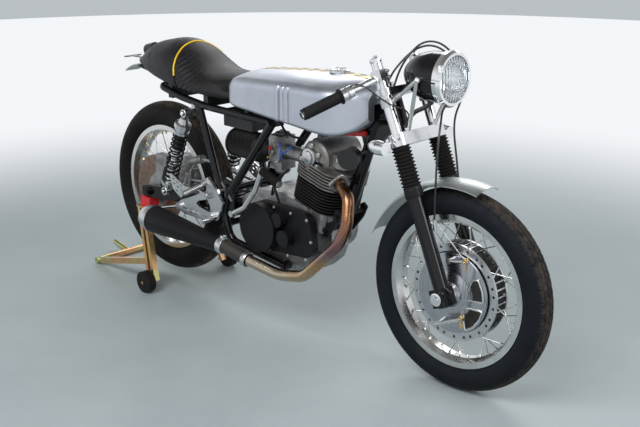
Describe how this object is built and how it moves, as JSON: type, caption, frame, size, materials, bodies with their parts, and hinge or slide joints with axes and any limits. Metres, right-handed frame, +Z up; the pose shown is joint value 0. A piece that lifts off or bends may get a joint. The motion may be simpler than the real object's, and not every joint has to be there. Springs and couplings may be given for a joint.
{
  "type": "cafe racer motorcycle",
  "caption": "Cafe racer motorcycle with kick-start single, alloy tank, drum front brake and humped seat, held upright on a roller paddock stand.",
  "frame": {"origin": "centre of the footprint on the floor, under the middle of the length of machine and stand", "axes": "+X forward, +Y to the machine's left, +Z up; the floor is z = 0"},
  "size_m": [2.1569, 0.6968, 1.0548],
  "materials": {
    "black_frame": "gloss",
    "satin_black": "satin",
    "cast_alloy": "matt cast",
    "polished_alloy": "polished",
    "brushed_alloy": "brushed",
    "head_grey": "matt cast",
    "chrome": "polished",
    "steel": "brushed",
    "heat_tinted": "heat tinted",
    "disc_brown": "ground",
    "zinc_gold": "yellow passivated zinc",
    "red_rubber": "matt",
    "black_rubber": "matt",
    "tyre_rubber": "matt",
    "leather": "satin",
    "black_plastic": "matt",
    "lamp_black": "gloss",
    "clear_glass": "clear",
    "mirror_bright": "polished"
  },
  "bodies": {
    "chassis": {"frame_backbone": "black_frame", "frame_cradle": "black_frame", "frame_rear": "black_frame", "swingarm": "satin_black", "shock_absorbers": "chrome", "shock_mounts": "steel", "fuel_tank": "brushed_alloy", "filler_cap": "polished_alloy", "seat_pad": "leather", "seat_base": "black_plastic", "crankcase": "cast_alloy", "clutch_cover": "satin_black", "cylinder": "satin_black", "cylinder_head": "head_grey", "rocker_cover": "head_grey", "carburettor": "cast_alloy", "air_filter": "black_rubber", "horn": "black_plastic", "electrics_tray": "black_plastic", "exhaust_header": "heat_tinted", "muffler": "satin_black", "kick_lever": "polished_alloy", "rearsets": "polished_alloy", "rear_brake": "cast_alloy", "drive_chain": "steel", "tail_lamp": "black_plastic", "plate_hanger": "black_frame", "tail_guard": "polished_alloy", "stand_frame": "zinc_gold", "stand_cups": "red_rubber", "engine_plates": "black_frame"},
    "front_fork": {"fork_legs": "black_frame", "stanchions": "chrome", "fork_gaiters": "black_rubber", "fork_yokes": "polished_alloy", "stem_nut": "chrome", "clip_on_bars": "polished_alloy", "grips": "black_rubber", "headlight_shell": "lamp_black", "headlight_rim": "chrome", "headlight_lens": "clear_glass", "headlight_reflector": "mirror_bright", "headlight_brackets": "polished_alloy", "indicators": "chrome", "front_mudguard": "brushed_alloy", "brake_panel": "cast_alloy", "brake_levers": "brushed_alloy", "front_brake_cable": "black_rubber", "speed_cable": "black_rubber", "throttle_cable": "black_rubber", "wiring_loom": "black_rubber"},
    "front_wheel": {"front_tyre": "tyre_rubber", "front_rim": "chrome", "front_hub": "satin_black"},
    "rear_wheel": {"rear_tyre": "tyre_rubber", "rear_rim": "chrome", "rear_hub": "cast_alloy", "rear_disc": "disc_brown"},
    "roller_right": {"stand_roller_right": "black_rubber"},
    "roller_left": {"stand_roller_left": "black_rubber"}
  },
  "joints": [
    {"name": "steering", "type": "hinge", "parent": "chassis", "child": "front_fork", "pos_m": [0.71677, 0, 0.30156], "axis": [-0.3923, 0, 0.9198], "range_deg": [-32.4, 27.6]},
    {"name": "front_wheel_spin", "type": "hinge", "parent": "front_fork", "child": "front_wheel", "pos_m": [0.75996, 0.00197, 0.31998], "axis": [-0.0385, 0.9991, -0.0164], "continuous": true},
    {"name": "rear_wheel_spin", "type": "hinge", "parent": "chassis", "child": "rear_wheel", "pos_m": [-0.64, 0, 0.371], "axis": [0, 1, 0], "continuous": true},
    {"name": "roller_right_spin", "type": "hinge", "parent": "chassis", "child": "roller_right", "pos_m": [-0.575, -0.205, 0.042], "axis": [0, 1, 0], "continuous": true},
    {"name": "roller_left_spin", "type": "hinge", "parent": "chassis", "child": "roller_left", "pos_m": [-0.575, 0.205, 0.042], "axis": [0, 1, 0], "continuous": true}
  ]
}
